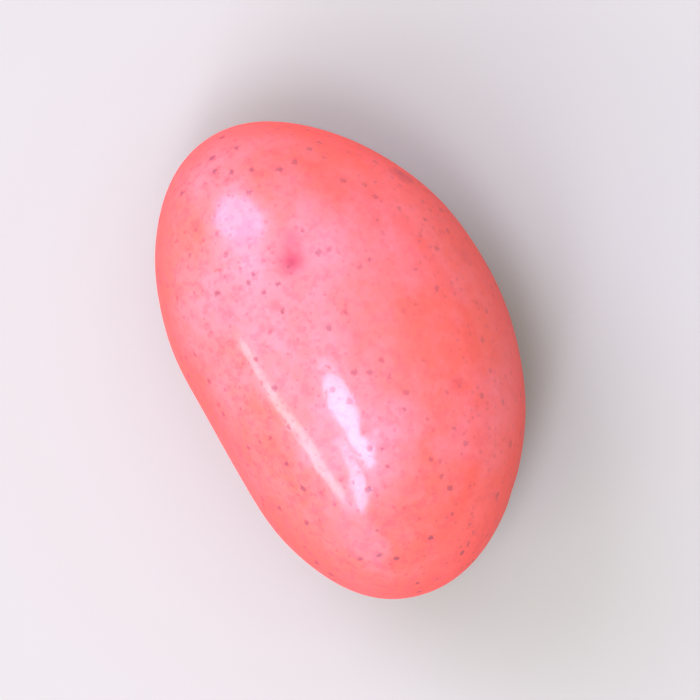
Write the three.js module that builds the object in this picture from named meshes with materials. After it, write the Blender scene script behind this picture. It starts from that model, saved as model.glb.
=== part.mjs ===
// One jelly bean, lying on its broad side. It is a single piece: a soft centre inside a hard, glazed sugar
// shell, with nothing of the centre showing, so the solid is one closed body.
//
// Millimetres, +Z up. X runs from tip to tip, the hollow belly faces -Y and the rounded back faces +Y.
// The origin is at the middle of the bean's box, on the surface that it rests on.

import * as THREE from "three";
import { mergeVertices } from "three/addons/utils/BufferGeometryUtils.js";

// Driving dimensions
const LENGTH = 16.5; // tip to tip
const WIDTH = 10.5; // belly to back
const THICKNESS = 9.1; // resting spot to crown

// Form, each as a share of the half size that it shapes
const BEND = 0.12; // how far the tips lean towards the belly, of half the width
const BELLY_HOLLOW = 0.085; // depth of the hollow in the belly, of half the width
const BELLY_MIDDLE = 0.17; // where the hollow is deepest, from the middle towards +X, of half the length
const BELLY_REACH = 0.45; // how far the hollow reaches to each side, of half the length
const TIP_FULLNESS = 0.2; // how much thicker the tips are than an ellipse's, of half the thickness
const FLOOR_LEVEL = -0.94; // where the moulded underside flattens, of half the thickness
const FLOOR_SOFTNESS = 0.07; // how gently the sides run into it, of half the thickness
const SPOT_LEVEL = -0.908; // the small flat spot that the bean rests on, of half the thickness

// Swells of the sugar shell, which builds up unevenly while the bean tumbles in the pan
const SWELL_COUNT = 30;
const SWELL_HEIGHT = 0.012; // of the distance from the bean's middle
const SWELL_SPREAD = 0.07; // 1 minus the cosine of the angle at which a swell fades
const SWELL_RHYTHM = 0.9; // step through the sine that sets each swell's height
const GOLDEN_ANGLE = Math.PI * (3 - Math.sqrt(5));

const GRID = 22; // squares along each side of the six-faced grid
const MERGE_DISTANCE = 1e-5;

// The swells sit at evenly spread directions, and rise or sink by a sine of their number.
function makeSwells() {
  const swells = [];
  for (let i = 0; i < SWELL_COUNT; i++) {
    const along = 1 - (2 * (i + 0.5)) / SWELL_COUNT;
    const around = i * GOLDEN_ANGLE;
    const radius = Math.sqrt(1 - along * along);
    swells.push({
      direction: new THREE.Vector3(along, radius * Math.cos(around), radius * Math.sin(around)),
      height: SWELL_HEIGHT * Math.sin(SWELL_RHYTHM * (i + 1)),
    });
  }
  return swells;
}

// How much the shell stands out in a direction, as a share of the distance from the middle
function shellSwell(direction, swells) {
  let sum = 0;
  for (const swell of swells) {
    sum += swell.height * Math.exp((direction.dot(swell.direction) - 1) / SWELL_SPREAD);
  }
  return sum;
}

// Keeps a height above a level, with a rounded run into it
function softFloor(height, level, softness) {
  return level + softness * Math.log1p(Math.exp((height - level) / softness));
}

// The bean's surface in a direction from its middle, in units of half the length, width and thickness
function beanSurface(direction, swells) {
  const reach = 1 + shellSwell(direction, swells);
  const x = direction.x * reach;
  const facingBelly = Math.max(0, -direction.y) ** 2;
  const hollow = BELLY_HOLLOW * facingBelly * Math.exp(-(((x - BELLY_MIDDLE) / BELLY_REACH) ** 2));
  const y = direction.y * reach - BEND * x * x + hollow;
  const height = direction.z * reach * (1 + TIP_FULLNESS * x * x);
  const resting = softFloor(height, FLOOR_LEVEL, FLOOR_SOFTNESS);
  const z = Math.max(resting, SPOT_LEVEL);
  return new THREE.Vector3(x, y, z);
}

// A cube's grid blown up to a ball and pressed into the bean, then set to its true size where it rests
function beanGeometry() {
  const swells = makeSwells();
  const box = new THREE.BoxGeometry(2, 2, 2, GRID, GRID, GRID);
  box.deleteAttribute("normal");
  box.deleteAttribute("uv");
  const geometry = mergeVertices(box, MERGE_DISTANCE);
  const position = geometry.getAttribute("position");
  const evenStep = Math.PI / 4; // spreads the grid lines evenly over each face of the ball
  for (let i = 0; i < position.count; i++) {
    const corner = new THREE.Vector3().fromBufferAttribute(position, i);
    const direction = new THREE.Vector3(
      Math.tan(corner.x * evenStep),
      Math.tan(corner.y * evenStep),
      Math.tan(corner.z * evenStep),
    ).normalize();
    position.setXYZ(i, ...beanSurface(direction, swells).toArray());
  }
  geometry.computeBoundingBox();
  const size = geometry.boundingBox.getSize(new THREE.Vector3());
  const middle = geometry.boundingBox.getCenter(new THREE.Vector3());
  geometry.translate(-middle.x, -middle.y, -geometry.boundingBox.min.z);
  geometry.scale(LENGTH / size.x, WIDTH / size.y, THICKNESS / size.z);
  geometry.computeVertexNormals();
  return geometry;
}

// Coral sugar shell under a confectioner's glaze
function glazedShell() {
  return new THREE.MeshStandardMaterial({ color: 0xf4706c, roughness: 0.25, metalness: 0 });
}

const bean = new THREE.Mesh(beanGeometry(), glazedShell());
bean.name = "bean";

const group = new THREE.Group();
group.add(bean);

export default group;
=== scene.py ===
# %% [markdown]
# # A jelly bean
# A jelly bean is one piece of confectionery. A soft centre is cast in starch, which gives the curved
# form and the flattish underside. It then tumbles in a rotating pan while sugar syrup dries on it, coat
# after coat. The last coat is a confectioner's glaze, and that is what shines.
#
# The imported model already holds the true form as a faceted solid. This scene makes the fine surface
# over the same form, and gives it a colour that runs from coral to pink, sugar specks, small dimples
# and a glaze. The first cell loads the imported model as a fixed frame, and notes its box before anything
# is added.

import math

import bpy
import numpy as np
from mathutils import Matrix, Vector


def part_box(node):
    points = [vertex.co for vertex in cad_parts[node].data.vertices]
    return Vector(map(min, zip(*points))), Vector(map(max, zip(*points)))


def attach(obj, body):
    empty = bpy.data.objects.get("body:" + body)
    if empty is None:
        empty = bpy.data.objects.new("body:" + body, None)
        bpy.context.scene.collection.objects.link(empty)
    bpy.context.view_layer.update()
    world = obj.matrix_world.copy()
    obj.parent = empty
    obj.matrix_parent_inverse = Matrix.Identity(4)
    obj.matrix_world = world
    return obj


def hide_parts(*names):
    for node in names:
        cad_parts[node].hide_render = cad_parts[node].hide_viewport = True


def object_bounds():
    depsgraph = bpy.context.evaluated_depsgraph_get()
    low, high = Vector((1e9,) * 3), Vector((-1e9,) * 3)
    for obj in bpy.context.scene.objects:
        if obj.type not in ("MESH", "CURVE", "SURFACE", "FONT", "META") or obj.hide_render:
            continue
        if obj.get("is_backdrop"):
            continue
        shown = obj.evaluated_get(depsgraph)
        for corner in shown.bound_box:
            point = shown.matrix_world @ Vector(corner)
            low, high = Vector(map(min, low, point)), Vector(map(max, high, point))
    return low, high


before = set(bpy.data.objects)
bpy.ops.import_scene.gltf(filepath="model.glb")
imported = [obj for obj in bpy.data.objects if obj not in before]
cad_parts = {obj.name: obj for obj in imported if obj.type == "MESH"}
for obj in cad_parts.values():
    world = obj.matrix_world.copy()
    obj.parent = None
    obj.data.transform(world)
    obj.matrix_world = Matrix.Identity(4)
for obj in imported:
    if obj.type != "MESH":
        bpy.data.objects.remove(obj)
cad_low, cad_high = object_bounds()
MM = 0.001  # the frame is in metres, and a bean is easier to think of in millimetres
bean_low, bean_high = (np.array(corner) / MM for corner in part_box("bean"))
bean_size = bean_high - bean_low
print("the bean's box in mm:", bean_size.round(2))

# %% [markdown]
# # Camera
# The bean is seen from straight above, with its length turned away from the picture's sideways axis. A
# wide lens close by would swell the crown, so a long lens stands well back, and the picture is nearly
# free of perspective. Turning the camera about the line of sight, instead of turning the bean, keeps
# the bean in its own frame.

# %% Camera from straight above
PICTURE_TURN = math.radians(64.3)  # from the picture's sideways axis to the bean's length
CAMERA_HEIGHT = 400 * MM
VIEW_WIDTH = 22.8 * MM  # what the square picture takes in, at the bean's middle
SENSOR_WIDTH = 36  # Blender's own unit for lens and sensor, the millimetre
CLIP_START, CLIP_END = 10 * MM, 10_000 * MM  # the nearest and farthest that the camera sees

picture_right = Vector((math.cos(PICTURE_TURN), math.sin(PICTURE_TURN), 0))
picture_up = Vector((-math.sin(PICTURE_TURN), math.cos(PICTURE_TURN), 0))
straight_up = Vector((0, 0, 1))
middle_height = bean_size[2] / 2 * MM

camera_data = bpy.data.cameras.new("camera")
camera_data.sensor_width = SENSOR_WIDTH
camera_data.lens = SENSOR_WIDTH * (CAMERA_HEIGHT - middle_height) / VIEW_WIDTH
camera_data.clip_start = CLIP_START
camera_data.clip_end = CLIP_END
camera = bpy.data.objects.new("camera", camera_data)
camera.matrix_world = Matrix.Translation((0, 0, CAMERA_HEIGHT)) @ Matrix.Rotation(PICTURE_TURN, 4, "Z")
bpy.context.scene.collection.objects.link(camera)
bpy.context.scene.camera = camera
print("camera lens in mm:", round(camera_data.lens))

# %% [markdown]
# # Floor
# The bean lies on a plain, pale, matt surface, so that nothing competes with it. A single square face
# is enough, so wide that its edge lies far off. The light over it is a little violet, so the paint is a
# little green, and the two together look nearly neutral.

# %% Pale floor
FLOOR_HALF = 400 * MM  # from the middle to each edge
FLOOR_COLOUR = (0.33, 0.41, 0.29, 1)
FLOOR_ROUGHNESS = 0.8


def set_inputs(node, values):
    """Sets a node's inputs by their names."""
    for name, value in values.items():
        node.inputs[name].default_value = value


def principled(name):
    """Returns a new material and its Principled shader."""
    material = bpy.data.materials.new(name)
    material.use_nodes = True
    return material, material.node_tree.nodes["Principled BSDF"]


floor_mesh = bpy.data.meshes.new("floor")
floor_corners = [(x * FLOOR_HALF, y * FLOOR_HALF, 0) for x, y in ((-1, -1), (1, -1), (1, 1), (-1, 1))]
floor_mesh.from_pydata(floor_corners, [], [(0, 1, 2, 3)])
floor = bpy.data.objects.new("floor", floor_mesh)
bpy.context.scene.collection.objects.link(floor)
floor_paint, floor_shader = principled("pale floor")
set_inputs(floor_shader, {"Base Color": FLOOR_COLOUR, "Roughness": FLOOR_ROUGHNESS})
floor_mesh.materials.append(floor_paint)
floor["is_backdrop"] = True
print("floor reaches", FLOOR_HALF / MM, "mm each way")

# %% [markdown]
# # Directions for the lights
# A glazed bean shows its lights as plainly as a mirror does, so each light is placed by the highlight
# that it makes. At a highlight the surface leans halfway between the camera and the light, so a light's
# direction can be worked out from where on the bean its highlight sits. Coordinates would hide that, so
# every direction here is given by two angles: how far it leans from straight up, and where it heads in
# the picture.

# %% Directions from two angles
def toward(lean, heading):
    """Direction that leans so many degrees from straight up, to a heading in the picture.

    A heading of 0 degrees is to the right, and 90 is up. The direction is the sine of the lean times
    the heading's own direction, plus the cosine of the lean times straight up.
    """
    lean, heading = math.radians(lean), math.radians(heading)
    sideways = math.cos(heading) * picture_right + math.sin(heading) * picture_up
    return math.sin(lean) * sideways + math.cos(lean) * straight_up


print("a lamp half way down on the left lies toward", toward(45, 180).to_tuple(2))

# %% [markdown]
# # Sky with soft glows
# Lamps alone would leave the rest hard and dark, so the sky gives an even light, and a little more from
# overhead. Into it go soft round glows, the way a bright wall or a pale curtain glows. One picture
# wrapped round the scene could light the bean too, but glows that are worked out by nodes can each be
# moved on their own. Their reflections have no edge, and lie on the glaze as a pale haze. The narrower
# glows are violet, which turns the pink under them cooler. The even light and the two widest glows are
# warm, which keeps the whole from turning too violet.

# %% Sky and helpers for nodes
world = bpy.data.worlds.new("sky")
bpy.context.scene.world = world
world.use_nodes = True
sky = world.node_tree


def add_node(tree, kind, **properties):
    """Adds a node to a tree and sets its properties."""
    node = tree.nodes.new(kind)
    for name, value in properties.items():
        setattr(node, name, value)
    return node


def feed(tree, sockets, values):
    """Gives each socket its value, by a link where the value is another node's output."""
    for socket, value in zip(sockets, values):
        if isinstance(value, bpy.types.NodeSocket):
            tree.links.new(value, socket)
        else:
            socket.default_value = value


def vector_math(tree, operation, *values):
    """A Vector Math node on vectors, each an output or numbers. Returns the node."""
    node = add_node(tree, "ShaderNodeVectorMath", operation=operation)
    feed(tree, node.inputs, values)
    return node


print("the sky starts with the nodes", sky.nodes.keys())

# %% Glows
WARM = (1.0, 0.86, 0.60)
VIOLET = (0.70, 0.50, 1.0)
EVEN_LIGHT = 0.25
SKY_GLOWS = (  # lean, heading, radius in degrees, brightness and colour
    (0, 0, 100, 0.35, WARM),
    (60, 170, 75, 0.5, WARM),
    (52, 143, 32, 6.0, VIOLET),
    (38, 80, 28, 1.8, VIOLET),
    (42, -138, 30, 2.3, VIOLET),
    (72, -112, 28, 3.0, VIOLET),
    (22, -95, 30, 1.6, VIOLET),
    (12, 10, 32, 1.5, VIOLET),
    (48, -118, 18, 2.2, VIOLET),
)

looking = add_node(sky, "ShaderNodeTexCoord").outputs["Generated"]


def sky_glow(lean, heading, radius, brightness, colour):
    """Light that fades smoothly to nothing at the radius, by the cosine of the angle to its middle."""
    nearness = vector_math(sky, "DOT_PRODUCT", looking, toward(lean, heading)).outputs["Value"]
    fade = add_node(sky, "ShaderNodeMapRange", interpolation_type="SMOOTHSTEP")
    set_inputs(fade, {"From Min": math.cos(math.radians(radius)), "From Max": 1, "To Max": brightness})
    sky.links.new(nearness, fade.inputs["Value"])
    glow = vector_math(sky, "SCALE", colour)
    sky.links.new(fade.outputs["Result"], glow.inputs["Scale"])
    return glow.outputs["Vector"]


light = [EVEN_LIGHT * channel for channel in WARM]
for glow_values in SKY_GLOWS:
    light = vector_math(sky, "ADD", light, sky_glow(*glow_values)).outputs["Vector"]
sky.links.new(light, sky.nodes["Background"].inputs["Color"])
bpy.context.scene.view_settings.view_transform = "Standard"
print("sky has", len(SKY_GLOWS), "glows over an even light of", EVEN_LIGHT)

# %% [markdown]
# # Lamps
# The bright streaks on the crown have an edge, so they come from lamps, not from the sky. A round lamp
# would make a round spot. Each lamp is a flat ellipse instead, which runs from one direction to
# another, and the glaze shows it as a streak between the two places that mirror those directions.

# %% Panel lamps
LAMP_DISTANCE = 250 * MM
LILAC = (0.80, 0.66, 1.0)
ROSE = (1.0, 0.86, 0.9)


def panel_lamp(name, start, end, width, brightness, colour):
    """A flat lamp whose middle line runs between two directions, given as (lean, heading), facing the bean.

    It is as long as the angle between them spans at the lamps' distance, and as broad as its width in
    degrees spans there. Its power is the brightness times pi times the ellipse's area, a quarter of pi
    times length times breadth, so that it looks equally bright at any size.
    """
    start, end = toward(*start), toward(*end)
    outward = ((start + end) / 2).normalized()
    across = (end - start).normalized()
    length = 2 * LAMP_DISTANCE * math.tan(start.angle(end) / 2)
    breadth = 2 * LAMP_DISTANCE * math.tan(math.radians(width) / 2)
    lamp = bpy.data.lights.new(name, "AREA")
    lamp.shape = "ELLIPSE"
    lamp.size = length
    lamp.size_y = breadth
    lamp.energy = brightness * math.pi * length * breadth * math.pi / 4
    lamp.color = colour
    holder = bpy.data.objects.new(name, lamp)
    turn = Matrix((across, outward.cross(across), outward)).transposed().to_4x4()
    holder.matrix_world = Matrix.Translation(outward * LAMP_DISTANCE + straight_up * middle_height) @ turn
    bpy.context.scene.collection.objects.link(holder)
    print(name, "measures", round(length / MM), "by", round(breadth / MM), "mm")


panel_lamp("key lamp", (10, -160), (26.5, -98), width=15, brightness=16, colour=LILAC)
panel_lamp("window", (68, 152), (40, 121), width=24, brightness=6.0, colour=VIOLET)
panel_lamp("key lamp tail", (28, -121), (55, -107), width=10, brightness=12, colour=LILAC)
panel_lamp("edge lamp", (62, -163), (53, -121), width=10, brightness=8, colour=ROSE)

# %% [markdown]
# # Form of the bean
# The form could be sculpted, or a ball could be bent and smoothed with modifiers. A formula is chosen,
# because it gives the same form as the solid does, at any fineness. Every direction from the bean's
# middle is pressed into a point of the surface: the tips lean to the belly, the belly is slightly
# hollow, and the underside is flattened.
#
# A ball of latitude and longitude lines would pinch at its poles, so the grid starts as a cube's six
# square grids, blown up to a ball. Counting the grid in whole steps lets the shared edges of the six
# faces be merged exactly.

# %% Six-faced grid of directions
GRID = 124  # steps along each edge of the cube


def cube_grid(steps):
    """Whole-number grid points on a cube's six faces, merged where they meet, and the squares between them.

    Each face holds one coordinate at 0 or at the number of steps, while the other two run over the
    grid.
    """
    across, upward = np.meshgrid(np.arange(steps + 1), np.arange(steps + 1), indexing="ij")
    points, squares = [], []
    for axis in range(3):
        for level in (0, steps):
            face = np.empty((steps + 1, steps + 1, 3), int)
            face[..., axis] = level
            face[..., (axis + 1) % 3] = across
            face[..., (axis + 2) % 3] = upward
            first = len(points) * (steps + 1) ** 2
            index = first + np.arange((steps + 1) ** 2).reshape(steps + 1, steps + 1)
            ring = [index[:-1, :-1], index[1:, :-1], index[1:, 1:], index[:-1, 1:]]
            ring = ring if level else ring[::-1]
            points.append(face.reshape(-1, 3))
            squares.append(np.stack(ring, -1).reshape(-1, 4))
    merged, place = np.unique(np.concatenate(points), axis=0, return_inverse=True)
    return merged, place.reshape(-1)[np.concatenate(squares)]


grid_points, squares = cube_grid(GRID)
evened = np.tan((2 * grid_points / GRID - 1) * math.pi / 4)  # the tangent keeps the squares alike in size
directions = evened / np.linalg.norm(evened, axis=1, keepdims=True)
print(len(directions), "grid points and", len(squares), "squares")

# %% [markdown]
# # Swells of the sugar shell
# Syrup doesn't dry evenly in the pan, so the shell swells and sinks by a few hundredths of a
# millimetre, and that is what makes a highlight wander. A displacement texture would do, but the solid
# has the same swells, so they are a formula too: low rounded hills at evenly spread directions, whose
# heights follow a sine of their number.

# %% Broad swells
SWELL_COUNT = 30
SWELL_HEIGHT = 0.012  # of the distance from the bean's middle
SWELL_SPREAD = 0.07  # 1 minus the cosine of the angle at which a swell fades
SWELL_RHYTHM = 0.9  # step through the sine that sets each swell's height
GOLDEN_ANGLE = math.pi * (3 - math.sqrt(5))


def even_directions(count):
    """Evenly spread directions: equal steps from tip to tip, each a golden angle further round."""
    number = np.arange(count)
    along = 1 - 2 * (number + 0.5) / count
    radius = np.sqrt(1 - along**2)
    around = number * GOLDEN_ANGLE
    return np.stack([along, radius * np.cos(around), radius * np.sin(around)], axis=1)


def shell_swell(direction):
    """Sum of the hills, as a share of the distance from the middle.

    Each is its height times e to the power of (cosine of the angle to it - 1) / spread.
    """
    height = SWELL_HEIGHT * np.sin(SWELL_RHYTHM * np.arange(1, SWELL_COUNT + 1))
    return np.exp((direction @ even_directions(SWELL_COUNT).T - 1) / SWELL_SPREAD) @ height


swell = shell_swell(directions)
print("swells from", swell.min().round(4), "to", swell.max().round(4), "of the distance from the middle")

# %% Surface of the bean
BEND = 0.12  # how far the tips lean towards the belly
BELLY_HOLLOW = 0.085  # depth of the hollow in the belly
BELLY_MIDDLE = 0.17  # where the hollow is deepest, from the middle towards +X
BELLY_REACH = 0.45  # how far the hollow reaches to each side
TIP_FULLNESS = 0.2  # how much thicker the tips are than an ellipse's
FLOOR_LEVEL = -0.94  # where the moulded underside flattens
FLOOR_SOFTNESS = 0.07  # how gently the sides run into it
SPOT_LEVEL = -0.908  # the small flat spot that the bean rests on


def bean_surface(direction, swell):
    """The form in half lengths, half widths and half thicknesses.

    Each direction is stretched by 1 plus its swell. The belly axis then loses the bend times the square
    of the length. It gains the hollow times the square of how far the direction faces the belly, times
    a bell curve along the length. The height grows by the fullness times the square of the length. It
    stays above a soft floor, which is the level plus the softness times log(1 + e to the power of
    (height - level) / softness), and above the flat spot.
    """
    x, y, z = (direction * (1 + swell)[:, None]).T
    facing_belly = np.maximum(0, -direction[:, 1]) ** 2
    hollow = BELLY_HOLLOW * facing_belly * np.exp(-(((x - BELLY_MIDDLE) / BELLY_REACH) ** 2))
    y = y - BEND * x**2 + hollow
    z = z * (1 + TIP_FULLNESS * x**2)
    z = FLOOR_LEVEL + FLOOR_SOFTNESS * np.log1p(np.exp((z - FLOOR_LEVEL) / FLOOR_SOFTNESS))
    return np.stack([x, y, np.maximum(z, SPOT_LEVEL)], axis=1)


def fit_to_box(points, low, high):
    """Moves and stretches the points so that their box has the two corners given."""
    share = (points - points.min(axis=0)) / np.ptp(points, axis=0)
    return low + share * (high - low)


smooth_bean = fit_to_box(bean_surface(directions, swell), bean_low, bean_high)
print("surface from", smooth_bean.min(axis=0).round(2), "to", smooth_bean.max(axis=0).round(2), "mm")

# %% [markdown]
# # Fine relief
# Two finer things show in the shine. Ripples a few millimetres long bend the highlights, and dimples as
# wide as a pinhead are left by knocks in the pan while the syrup is soft. Both are wide enough to be
# real relief. A bump texture would shade them but leave the mesh smooth, so they move the surface along
# its normal instead.

# %% Normals of the smooth bean
def grid_normals(points, squares):
    """Normal at each point, of unit length.

    It is a sum over the squares around the point, each of which gives the cross product of its
    diagonals.
    """
    corner = points[squares]
    facing = np.cross(corner[:, 2] - corner[:, 0], corner[:, 3] - corner[:, 1])
    total = np.zeros_like(points)
    for k in range(4):
        np.add.at(total, squares[:, k], facing)
    return total / np.linalg.norm(total, axis=1, keepdims=True)


normals = grid_normals(smooth_bean, squares)
outward_share = (np.sum(normals * (smooth_bean - smooth_bean.mean(axis=0)), axis=1) > 0).mean()
print("share of normals that point outwards:", outward_share)

# %% Ripples
RIPPLE_COUNT = 14
RIPPLE_HEIGHT = 0.003  # mm, of each wave
RIPPLE_LENGTHS = (2.2, 4.5)  # mm from crest to crest


def ripples(points, seed=3):
    """Sum of sine waves that run through space in seeded random directions, each of its own length."""
    chance = np.random.default_rng(seed)
    heading = chance.normal(size=(RIPPLE_COUNT, 3))
    heading /= np.linalg.norm(heading, axis=1, keepdims=True)
    wave_length = chance.uniform(*RIPPLE_LENGTHS, RIPPLE_COUNT)
    phase = chance.uniform(0, 2 * math.pi, RIPPLE_COUNT)
    return RIPPLE_HEIGHT * np.sin(points @ heading.T * (2 * math.pi / wave_length) + phase).sum(axis=1)


ripple = ripples(smooth_bean)
print("ripples from", ripple.min().round(3), "to", ripple.max().round(3), "mm")

# %% Dimples
CROWN_DIMPLES = (  # along, across, radius and depth in mm, on the upper face
    (-4.1, -0.1, 0.38, 0.03),
    (-3.4, -0.45, 0.48, 0.05),
    (-0.3, 0.4, 0.32, 0.02),
    (5.6, -1.3, 0.3, 0.02),
)
DIMPLE_COUNT = 16
DIMPLE_RADII = (0.22, 0.45)
DIMPLE_DEPTH_SHARE = 0.06  # depth of a scattered dimple over its radius


def dimple_places(seed=8):
    """Middle, radius and depth of each dimple: the named ones on the crown, then seeded ones anywhere."""
    upper = np.where(smooth_bean[:, 2] > bean_size[2] / 2)[0]
    places = []
    for along, across, radius, depth in CROWN_DIMPLES:
        nearest = upper[np.argmin(np.hypot(smooth_bean[upper, 0] - along, smooth_bean[upper, 1] - across))]
        places.append((smooth_bean[nearest], radius, depth))
    chance = np.random.default_rng(seed)
    for nearest in chance.choice(len(smooth_bean), DIMPLE_COUNT, replace=False):
        radius = chance.uniform(*DIMPLE_RADII)
        places.append((smooth_bean[nearest], radius, radius * DIMPLE_DEPTH_SHARE))
    return places


def dimple_wells(points, places):
    """Depth at each point, a sum of bell curves.

    Each is its dimple's depth times e to the power of minus (distance / radius) squared.
    """
    well = np.zeros(len(points))
    for middle, radius, depth in places:
        well += depth * np.exp(-(np.linalg.norm(points - middle, axis=1) / radius) ** 2)
    return well


dimple = dimple_wells(smooth_bean, dimple_places())
raised = smooth_bean + normals * (ripple - dimple)[:, None]
fine_bean = fit_to_box(raised, bean_low, bean_high)
print("deepest dimple", dimple.max().round(3), "mm")

# %% [markdown]
# # Mesh of the bean
# The bean could be a coarse cage under a Subdivision Surface modifier, but a coarse cage has no points
# to hold the dimples. The fine points and squares go into the mesh as they are. A square is less than a
# tenth of a millimetre wide, so even the smallest dimple has a few of them, and smooth shading hides
# the edges between them.

# %% The mesh
bean_mesh = bpy.data.meshes.new("glazed_bean")
bean_mesh.from_pydata((fine_bean * MM).tolist(), [], squares.tolist())
bean_mesh.shade_smooth()
bean = bpy.data.objects.new("glazed_bean", bean_mesh)
bpy.context.scene.collection.objects.link(bean)
print("glazed_bean has", 2 * len(squares), "triangles")

# %% [markdown]
# # Masks that the mesh carries
# The flanks and the dimples are painted a deeper red, and that red is painted shade: on the flanks it
# deepens where the surface turns away from the light above, and in the dimples it darkens the hollows.
# A shader could find the flanks by itself, from the surface's normal, but not the dimples. Here numpy
# knows both, so each becomes a number from 0 to 1 at every point of the mesh, and the material reads it
# by name.

# %% Flanks and dimples as masks
FLANK_STARTS, FLANK_IS_FULL = 0.85, 0.1  # upright share of the normal where the flank starts and is full
UNDERSIDE_STARTS, UNDERSIDE_IS_FULL = -0.1, -0.8  # and where it fades again towards the underside
UNDERSIDE_SHARE = 0.75  # what is left of it there
DIMPLE_FOCUS = 1.5  # the power that draws a dimple's mask in to its middle


def ramp(value, start, full):
    """0 before the start and 1 past the full value.

    In between it is s * s * (3 - 2 * s), for the share s of the way from one to the other.
    """
    share = np.clip((value - start) / (full - start), 0, 1)
    return share**2 * (3 - 2 * share)


def carry_mask(name, values):
    """Stores a number for each point of the bean, which its material can read by name."""
    mask = bean_mesh.attributes.new(name, "FLOAT", "POINT")
    mask.data.foreach_set("value", values.astype(np.float32))


upright = grid_normals(fine_bean, squares)[:, 2]
# painted shade: the flank's mask deepens the colour where the surface turns away from the light above
flank_shade = ramp(upright, FLANK_STARTS, FLANK_IS_FULL)
flank_shade = flank_shade * (1 - (1 - UNDERSIDE_SHARE) * ramp(upright, UNDERSIDE_STARTS, UNDERSIDE_IS_FULL))
carry_mask("flank_shade", flank_shade)
# painted shade in the dimples' hollows
carry_mask("dimple_shade", (dimple / dimple.max()) ** DIMPLE_FOCUS)
print("the flank's mask is over a half on", (flank_shade > 0.5).mean().round(2), "of the points")

# %% [markdown]
# # Specks as a node group
# Dark specks, finer dust and redder stains are all scattered dots, each kind with its own spacing and
# size. A Voronoi texture cuts space into cells round scattered points, so the distance to a cell's
# point gives a dot. The cell's own random colour decides which cells keep their dot and how large it
# is. Made once as a group with named inputs, it serves all three. It only puts out a mask, and each use
# decides what the mask does.

# %% Ragged places
WANDER_WAVES = 0.7  # waves of the noise that makes a dot ragged, over the dot's size


def calculate(tree, operation, *values):
    """A Math node on numbers, each an output or a plain number. Returns its output."""
    node = add_node(tree, "ShaderNodeMath", operation=operation)
    feed(tree, node.inputs, values)
    return node.outputs[0]


def ragged_place(group, given):
    """The group's Vector, shifted by noise that is centred on 0 and is Size times Raggedness strong."""
    wander = add_node(group, "ShaderNodeTexNoise")
    set_inputs(wander, {"Detail": 1})
    group.links.new(given["Vector"], wander.inputs["Vector"])
    group.links.new(calculate(group, "DIVIDE", WANDER_WAVES, given["Size"]), wander.inputs["Scale"])
    centred = vector_math(group, "SUBTRACT", wander.outputs["Color"], (0.5, 0.5, 0.5)).outputs["Vector"]
    reach = calculate(group, "MULTIPLY", given["Size"], given["Raggedness"])
    return vector_math(group, "MULTIPLY_ADD", centred, reach, given["Vector"]).outputs["Vector"]


dots = bpy.data.node_groups.new("scattered dots", "ShaderNodeTree")
print("made the empty group", dots.name)

# %% Scattered dots
DOT_INPUTS = {"Spacing": 1, "Size": 0.2, "Share": 0.5, "Softness": 0.1, "Raggedness": 1}
CELL_RANDOMNESS = 0.8  # keeps the dots far enough apart to stay whole
SMALLEST_DOT = 0.4  # radius of the smallest dot over Size


def fill_dots_group(group):
    """Mask of scattered dots: 1 inside a dot and 0 outside, with a soft edge.

    The dot's radius is Size times a random number from the smallest dot's to 1, and Share is the share
    of the cells that keep their dot. Raggedness is how far noise shifts the coordinates, in dots'
    sizes, so that the dots aren't round.
    """
    group.interface.new_socket("Vector", in_out="INPUT", socket_type="NodeSocketVector")
    for name, default in DOT_INPUTS.items():
        socket = group.interface.new_socket(name, in_out="INPUT", socket_type="NodeSocketFloat")
        socket.default_value = default
    group.interface.new_socket("Mask", in_out="OUTPUT", socket_type="NodeSocketFloat")
    given = add_node(group, "NodeGroupInput").outputs
    result = add_node(group, "NodeGroupOutput")

    cells = add_node(group, "ShaderNodeTexVoronoi")
    set_inputs(cells, {"Randomness": CELL_RANDOMNESS})
    group.links.new(ragged_place(group, given), cells.inputs["Vector"])
    group.links.new(calculate(group, "DIVIDE", 1, given["Spacing"]), cells.inputs["Scale"])
    chance = add_node(group, "ShaderNodeSeparateColor")
    group.links.new(cells.outputs["Color"], chance.inputs["Color"])

    shrink = calculate(group, "MULTIPLY_ADD", chance.outputs["Green"], 1 - SMALLEST_DOT, SMALLEST_DOT)
    radius = calculate(group, "MULTIPLY", given["Size"], shrink)
    radius = calculate(group, "DIVIDE", radius, given["Spacing"])
    softness = calculate(group, "DIVIDE", given["Softness"], given["Spacing"])
    inside = add_node(group, "ShaderNodeMapRange", interpolation_type="SMOOTHSTEP")
    group.links.new(cells.outputs["Distance"], inside.inputs["Value"])
    group.links.new(calculate(group, "ADD", radius, softness), inside.inputs["From Min"])
    group.links.new(radius, inside.inputs["From Max"])
    kept = calculate(group, "LESS_THAN", chance.outputs["Red"], given["Share"])
    group.links.new(calculate(group, "MULTIPLY", inside.outputs["Result"], kept), result.inputs["Mask"])


fill_dots_group(dots)
print("group", dots.name, "takes Vector and", list(DOT_INPUTS))

# %% [markdown]
# # Colour of the sugar shell
# The shell's colour isn't one red. It drifts between coral and pink over a few millimetres, and grain,
# dust, dark specks and a few stains lie in it. Grain, dust and specks are stronger on the belly side and
# fade to the back. A deeper red over the flanks and in the dimples is painted shade. One painted picture
# could hold all that, but it would need a flat map of a round thing. Noise and scattered dots fill space
# itself, so they meet nowhere and need no map. Each becomes a mask, and the colours are then laid over
# one another, mask by mask.

# %% Sugar shell, measured in millimetres
glazed_shell, shell = principled("glazed sugar shell")
nodes = glazed_shell.node_tree
place = add_node(nodes, "ShaderNodeTexCoord")
in_mm = vector_math(nodes, "SCALE", place.outputs["Object"])
set_inputs(in_mm, {"Scale": 1 / MM})
millimetres = in_mm.outputs["Vector"]
print("material", glazed_shell.name, "reads its place in millimetres")

# %% Drift between coral and pink
CORAL = (0.69, 0.134, 0.092, 1)
PINK = (0.69, 0.186, 0.176, 1)


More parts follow.
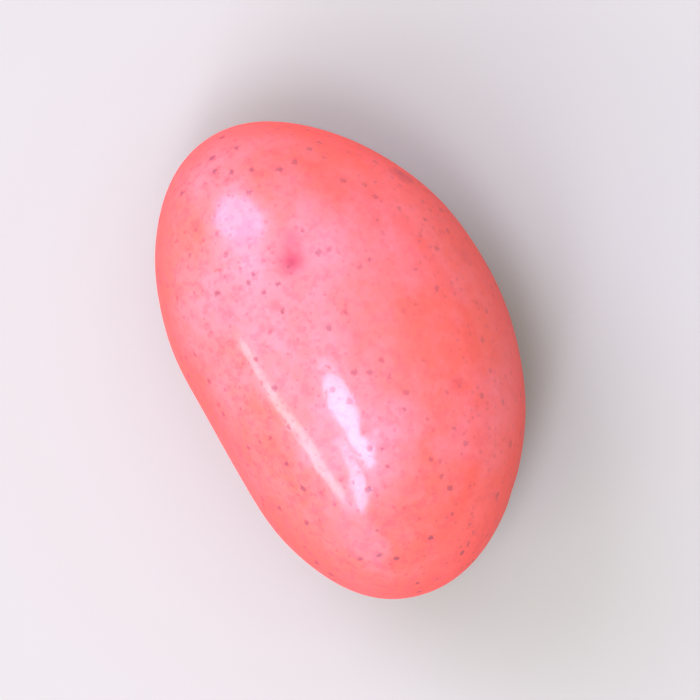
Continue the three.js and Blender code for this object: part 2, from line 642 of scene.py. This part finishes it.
def noise(scale, detail, roughness=0.5):
    """Noise with so many waves to the millimetre. Returns its factor."""
    texture = add_node(nodes, "ShaderNodeTexNoise")
    nodes.links.new(millimetres, texture.inputs["Vector"])
    set_inputs(texture, {"Scale": scale, "Detail": detail, "Roughness": roughness})
    return texture.outputs["Fac"]


def spread(value, low, high, to_low=0.0, to_high=1.0):
    """Maps a value from one range to another, smoothly, and holds it there."""
    node = add_node(nodes, "ShaderNodeMapRange", interpolation_type="SMOOTHSTEP")
    nodes.links.new(value, node.inputs["Value"])
    set_inputs(node, {"From Min": low, "From Max": high, "To Min": to_low, "To Max": to_high})
    return node.outputs["Result"]


broad_drift = spread(noise(scale=0.22, detail=2), 0.35, 0.65)
fine_drift = spread(noise(scale=1.6, detail=4, roughness=0.65), 0.3, 0.7, -0.25, 0.25)
drift = calculate(nodes, "ADD", broad_drift, fine_drift)
print("colours run from coral", CORAL[:3], "to pink", PINK[:3])

# %% Grain, stains, specks and dust
MOTTLED_FROM, MOTTLED_TO = -2, 4  # mm across the bean, from the belly side to the rounded back
BACK_MOTTLING = 0.4  # how strong the mottling is at the back, as a share


def times(first, second):
    """Product of two masks or numbers."""
    return calculate(nodes, "MULTIPLY", first, second)


def scatter(spacing, size, share, softness, raggedness=2.0):
    """Mask of scattered dots, with sizes in millimetres."""
    node = add_node(nodes, "ShaderNodeGroup", node_tree=dots)
    nodes.links.new(millimetres, node.inputs["Vector"])
    set_inputs(node, {"Spacing": spacing, "Size": size, "Share": share})
    set_inputs(node, {"Softness": softness, "Raggedness": raggedness})
    return node.outputs["Mask"]


across = add_node(nodes, "ShaderNodeSeparateXYZ")
nodes.links.new(millimetres, across.inputs["Vector"])
mottling = spread(across.outputs["Y"], MOTTLED_FROM, MOTTLED_TO, 1, BACK_MOTTLING)
grain = times(spread(noise(scale=3, detail=3, roughness=0.6), 0.46, 0.66), mottling)
stains = scatter(spacing=2.4, size=0.28, share=0.35, softness=0.35, raggedness=1.5)
specks = times(scatter(spacing=0.6, size=0.085, share=0.8, softness=0.08), mottling)
dust = times(scatter(spacing=0.28, size=0.045, share=0.7, softness=0.05), mottling)
print("mottling fades to", BACK_MOTTLING, "at the back")

# %% Colours laid over one another
# the deep red of painted shade on the flanks, where the light falls off
PAINTED_FLANK_SHADE = (0.95, 0.055, 0.036, 1)
# the stains' own red, also laid into the dimples as painted shade
STAIN_AND_DIMPLE_SHADE = (0.34, 0.05, 0.075, 1)
GRAIN = (0.50, 0.06, 0.08, 1)
SPECK = (0.02, 0.05, 0.07, 1)


def attribute(name):
    """Reads a mask that the mesh carries."""
    return add_node(nodes, "ShaderNodeAttribute", attribute_name=name).outputs["Fac"]


def tint(mask, under, over):
    """Lays a colour over another where the mask is 1. Each is a colour or an output."""
    node = add_node(nodes, "ShaderNodeMix", data_type="RGBA")
    nodes.links.new(mask, node.inputs["Factor"])
    feed(nodes, (node.inputs["A"], node.inputs["B"]), (under, over))
    return node.outputs["Result"]


flank_shade_mask = attribute("flank_shade")
LAYERS = (  # mask, strength and colour, from the bottom up
    # painted shade on the flanks
    (flank_shade_mask, 0.84, PAINTED_FLANK_SHADE),
    (stains, 0.35, STAIN_AND_DIMPLE_SHADE),
    # painted shade in the dimples
    (attribute("dimple_shade"), 1.0, STAIN_AND_DIMPLE_SHADE),
    (grain, 0.34, GRAIN),
    (dust, 0.36, SPECK),
    (specks, 0.62, SPECK),
)
colour = tint(drift, CORAL, PINK)
for mask, strength, over in LAYERS:
    colour = tint(times(mask, strength), colour, over)
nodes.links.new(colour, shell.inputs["Base Color"])
print(len(LAYERS), "layers lie over the drifting coral and pink")

# %% [markdown]
# # Depth and glaze
# Sugar is a little translucent, so a light subsurface keeps the shell from looking like paint. Over it
# lies the glaze, thin and clear. The shell's own gloss could be raised, but a Principled coat is nearer
# to the real thing, a second smooth layer with its own highlights over a duller one. Tiny pits and a
# faint orange peel keep it from being perfect, and it is thinner on the flanks.

# %% Sugar under the glaze
SUGAR_DEPTH = 1.0 * MM  # how far light wanders in the sugar

set_inputs(shell, {"Roughness": 0.42, "Specular IOR Level": 0})  # the glaze makes all the highlights
set_inputs(shell, {"Subsurface Weight": 0.25, "Subsurface Scale": SUGAR_DEPTH})
set_inputs(shell, {"Subsurface Radius": (1.0, 0.3, 0.25)})  # of that depth, and red light goes furthest
print("light wanders", SUGAR_DEPTH / MM, "mm in the sugar")

# %% Glaze
DUST_PITS = 0.6  # depth of the pits at the dust, over that of the pits at the specks
PIT_GLAZE_LOSS = 0.25  # share of the glaze that is missing in a pit
FLANK_GLAZE_LOSS = 0.65  # and on the flanks
PEEL_HEIGHT = 0.007 * MM  # of the orange peel
PIT_DEPTH = 0.3  # depth of a pit over the orange peel's height

pits = calculate(nodes, "MAXIMUM", times(dust, DUST_PITS), specks)
coat_cover = calculate(nodes, "SUBTRACT", 1, times(pits, PIT_GLAZE_LOSS))
coat_cover = calculate(nodes, "SUBTRACT", coat_cover, times(flank_shade_mask, FLANK_GLAZE_LOSS))
set_inputs(shell, {"Coat Roughness": 0.14, "Coat IOR": 1.5})
nodes.links.new(coat_cover, shell.inputs["Coat Weight"])

orange_peel = noise(scale=2.0, detail=1.5)
height = calculate(nodes, "SUBTRACT", orange_peel, times(pits, PIT_DEPTH))
bump = add_node(nodes, "ShaderNodeBump")
set_inputs(bump, {"Strength": 1, "Distance": PEEL_HEIGHT})
nodes.links.new(height, bump.inputs["Height"])
nodes.links.new(bump.outputs["Normal"], shell.inputs["Normal"])
nodes.links.new(bump.outputs["Normal"], shell.inputs["Coat Normal"])
bean_mesh.materials.append(glazed_shell)
print("the orange peel is", round(PEEL_HEIGHT / MM, 4), "mm high")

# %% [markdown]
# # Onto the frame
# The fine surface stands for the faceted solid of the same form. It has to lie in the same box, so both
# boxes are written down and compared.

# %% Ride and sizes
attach(bean, "root")
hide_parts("bean")

seen_low, seen_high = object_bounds()
corner_pairs = zip((*cad_low, *cad_high), (*seen_low, *seen_high))
print("boxes differ by at most", max(abs(cad - seen) for cad, seen in corner_pairs), "m")
